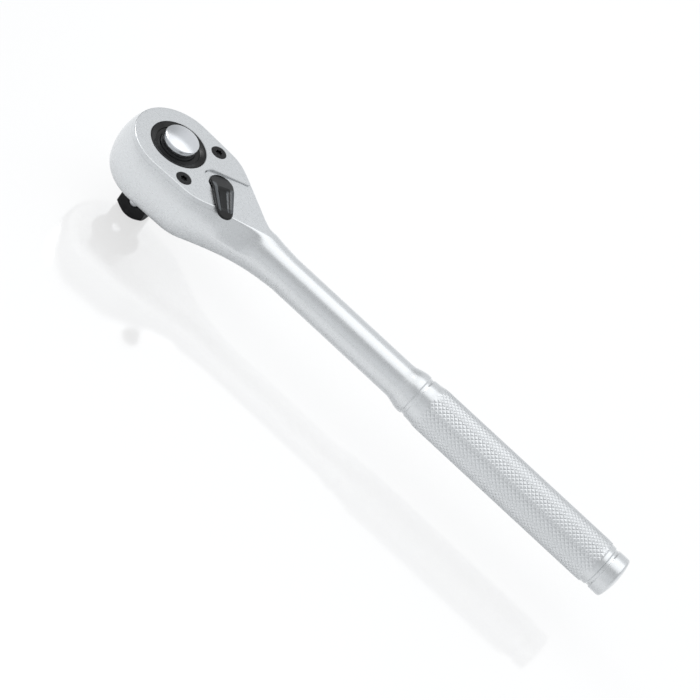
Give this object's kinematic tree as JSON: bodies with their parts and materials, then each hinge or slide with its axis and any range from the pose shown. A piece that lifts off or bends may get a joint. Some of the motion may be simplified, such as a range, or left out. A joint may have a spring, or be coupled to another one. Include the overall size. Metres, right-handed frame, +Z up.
{
  "type": "ratchet wrench",
  "caption": "Reversible ratchet wrench with a pear-shaped head, push-button square drive, thumb lever and knurled straight steel handle.",
  "frame": {"origin": "on the drive axis, at the shoulder of the square drive that a socket seats on", "axes": "+X along the handle away from the head, +Z up through the release button, the square drive points down -Z"},
  "size_m": [0.2573, 0.0426, 0.0435],
  "materials": {
    "satin_chrome": "satin chrome plate",
    "bright_steel": "polished steel",
    "black_oxide": "black oxide, oiled",
    "spring_steel": "plain spring steel",
    "seal_rubber": "moulded rubber"
  },
  "bodies": {
    "handle": {"body": "satin_chrome", "head_cover": "satin_chrome", "cover_screw_left": "black_oxide", "cover_screw_right": "black_oxide", "gear_washer": "spring_steel"},
    "drive": {"drive_gear": "black_oxide", "drag_ring": "seal_rubber", "button_retainer": "black_oxide", "plunger_spring": "spring_steel"},
    "button": {"release_button": "bright_steel", "release_plunger": "spring_steel"},
    "ball": {"detent_ball": "bright_steel"},
    "lever": {"reversing_lever": "black_oxide", "lever_clip": "spring_steel", "pawl_plunger": "bright_steel", "pawl_spring": "spring_steel"},
    "pawl": {"pawl": "black_oxide"}
  },
  "joints": [
    {"name": "drive_spin", "type": "hinge", "parent": "handle", "child": "drive", "pos_m": [0, 0, 0], "axis": [0, 0, 1], "continuous": true},
    {"name": "button_press", "type": "slide", "parent": "drive", "child": "button", "axis": [0, 0, -1], "range_m": [0, 0.003], "stiffness_N_per_m": 1500, "springref_m": -0.003, "deforming": ["plunger_spring"]},
    {"name": "ball_retract", "type": "slide", "parent": "drive", "child": "ball", "axis": [0, 1, 0], "range_m": [0, 0.0013]},
    {"name": "lever_swing", "type": "hinge", "parent": "handle", "child": "lever", "pos_m": [0.0225, 0, 0], "axis": [0, 0, 1], "range_deg": [0, 104]},
    {"name": "pawl_rock", "type": "hinge", "parent": "handle", "child": "pawl", "pos_m": [0.0225, 0, 0], "axis": [0, 0, 1], "range_deg": [0, 12]}
  ],
  "couplings": [
    {"joint": "ball_retract", "follows": "button_press", "ratio": 0.41667},
    {"joint": "pawl_rock", "follows": "lever_swing", "ratio": 0.076923}
  ]
}
